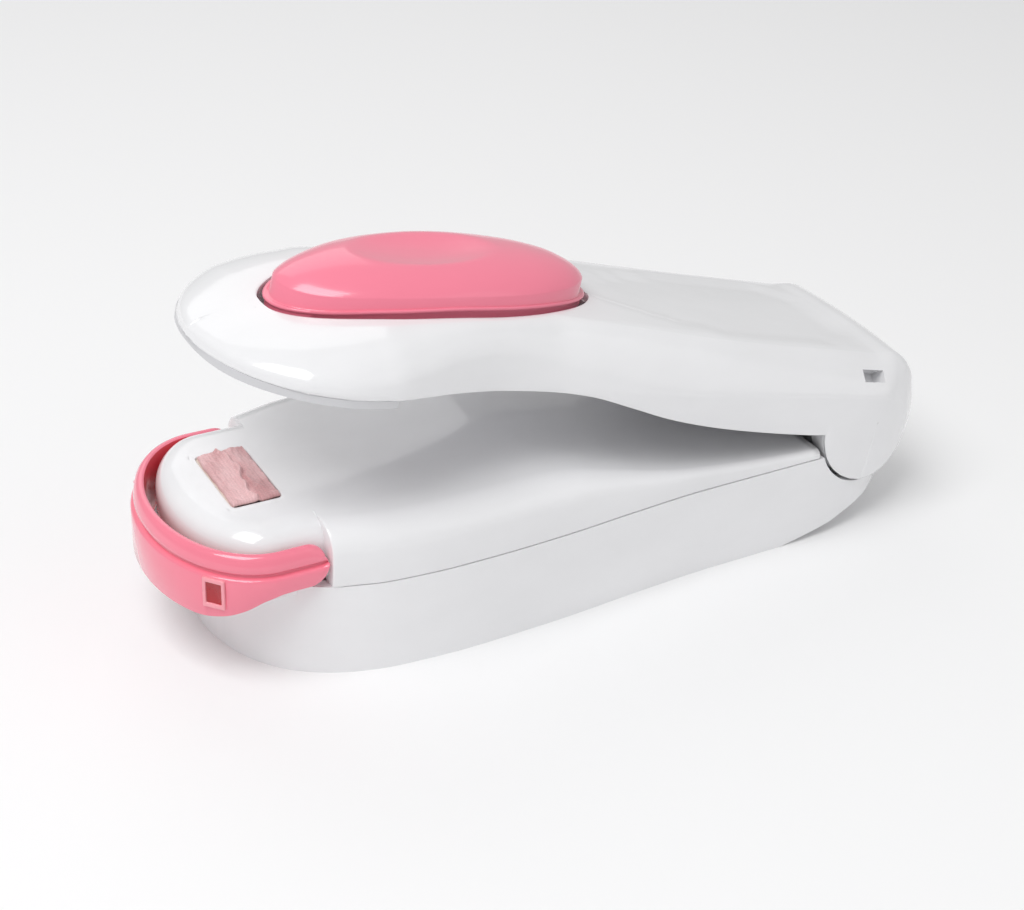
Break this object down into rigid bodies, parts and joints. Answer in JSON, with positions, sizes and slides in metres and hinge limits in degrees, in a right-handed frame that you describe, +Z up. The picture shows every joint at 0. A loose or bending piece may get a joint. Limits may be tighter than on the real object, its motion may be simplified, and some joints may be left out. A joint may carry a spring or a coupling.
{
  "type": "handheld bag heat sealer",
  "caption": "Pocket bag sealer: a battery base with a heated strip on its nose, a sprung press arm with a thumb pad over it and a guard ring that swings up.",
  "frame": {"origin": "centre of the bounding box on the surface that the base rests on, within 0.7 mm", "axes": "+Z up, +X from the heated nose to the hinge, +Y across the tool"},
  "size_m": [0.1449, 0.0518, 0.0647],
  "materials": {
    "white_shell": "glossy moulded plastic",
    "pink_ring": "glossy moulded plastic",
    "pink_pad": "satin moulded plastic",
    "dark_liner": "matt moulded plastic",
    "door_white": "fine-textured moulded plastic",
    "ceramic": "matt heat-proof moulding",
    "silicone_felt": "matt silicone sheet",
    "strip_alloy": "bare resistance strip",
    "slip_tape": "coated glass cloth, satin",
    "silicone_pad": "matt silicone",
    "steel": "plated steel",
    "spring_steel": "bright spring wire",
    "contact_metal": "nickel-plated spring sheet",
    "brass": "bare brass",
    "cell_sleeve": "plain printed sleeve, no marks",
    "tower_white": "matt moulding",
    "wire_red": "insulated wire",
    "wire_black": "insulated wire"
  },
  "bodies": {
    "base": {"lower_shell": "white_shell", "deck_cover": "white_shell", "base_screws": "steel", "heater_tower": "tower_white", "heater_springs": "spring_steel", "fixed_contact": "brass", "strip_terminals": "brass", "cell_left": "cell_sleeve", "cell_right": "cell_sleeve", "plus_contact": "contact_metal", "minus_contact": "contact_metal", "bridge_contact": "contact_metal", "wire_red": "wire_red", "wire_black": "wire_black", "torsion_spring": "spring_steel"},
    "battery_door": {"battery_door": "door_white"},
    "guard_ring": {"guard_ring": "pink_ring"},
    "heater": {"heater_block": "ceramic", "insulating_pad": "silicone_felt", "heating_strip": "strip_alloy", "heat_tape": "slip_tape", "moving_contact": "brass"},
    "arm": {"arm_top_shell": "white_shell", "arm_under_shell": "dark_liner", "arm_screws": "steel", "press_plate": "steel", "press_pad": "silicone_pad", "hinge_pin": "steel", "thumb_springs": "spring_steel"},
    "thumb_pad": {"thumb_pad": "pink_pad"}
  },
  "joints": [
    {"name": "arm_hinge", "type": "hinge", "parent": "base", "child": "arm", "pos_m": [0.06, 0, 0.0215], "axis": [0, 1, 0], "range_deg": [-11.8, 0], "stiffness_Nm_per_rad": 0.25, "springref_deg": 20.05, "deforming": ["torsion_spring"]},
    {"name": "ring_hinge", "type": "hinge", "parent": "base", "child": "guard_ring", "pos_m": [-0.0529, 0, 0.0216], "axis": [0, 1, 0], "range_deg": [0, 90]},
    {"name": "heater_press", "type": "slide", "parent": "base", "child": "heater", "axis": [0, 0, 1], "range_m": [-0.0012, 0], "stiffness_N_per_m": 1500, "springref_m": 0.0008, "deforming": ["heater_springs"]},
    {"name": "battery_door_slide", "type": "slide", "parent": "base", "child": "battery_door", "axis": [1, 0, 0], "range_m": [0, 0.06]},
    {"name": "thumb_press", "type": "slide", "parent": "arm", "child": "thumb_pad", "axis": [0.2045, 0, 0.9789], "range_m": [-0.0012, 0], "stiffness_N_per_m": 1500, "springref_m": 0.0008, "deforming": ["thumb_springs"]}
  ]
}
